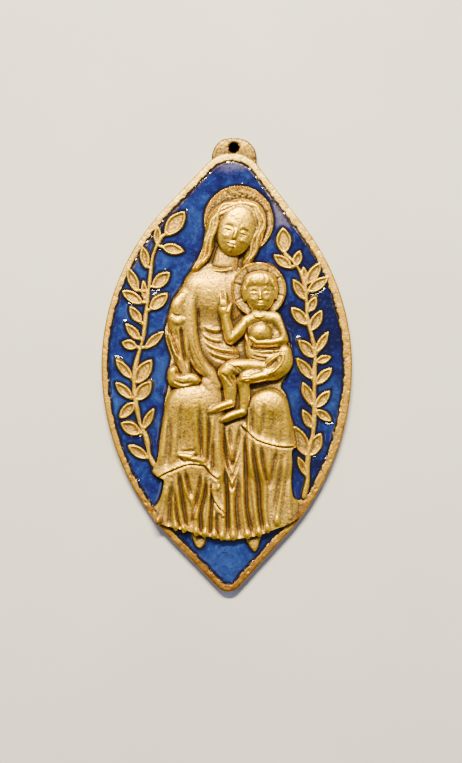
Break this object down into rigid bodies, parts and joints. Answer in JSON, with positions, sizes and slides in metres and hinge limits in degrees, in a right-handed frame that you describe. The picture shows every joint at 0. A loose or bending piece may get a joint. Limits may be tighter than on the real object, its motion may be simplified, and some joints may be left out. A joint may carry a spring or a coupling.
{
  "type": "devotional medal",
  "caption": "Pointed-oval gilt bronze medal with a seated mother and child in relief, leafy branches, blue fused enamel ground and a pierced lug at the top.",
  "frame": {"origin": "centre of the medal's box at its flat back, on the surface it lies on", "axes": "+Y along the long axis towards the pierced lug, +Z out of the relief side, +X to the viewer's right"},
  "size_m": [0.0662, 0.12, 0.0061],
  "materials": {
    "gilt_bronze": "cast bronze, gilt and rubbed bright on the raised parts, brown in the hollows",
    "blue_enamel": "opaque to translucent blue glass enamel, glossy, fused into the recess"
  },
  "bodies": {
    "root": {"medal_casting": "gilt_bronze", "enamel_around_figures": "blue_enamel", "enamel_left_flank": "blue_enamel", "enamel_left_pocket": "blue_enamel", "enamel_right_flank": "blue_enamel", "enamel_lower_tip": "blue_enamel", "enamel_right_pocket": "blue_enamel", "enamel_upper_leaf_cell": "blue_enamel", "enamel_left_top_cell": "blue_enamel", "enamel_lower_leaf_cell": "blue_enamel"}
  },
  "joints": []
}
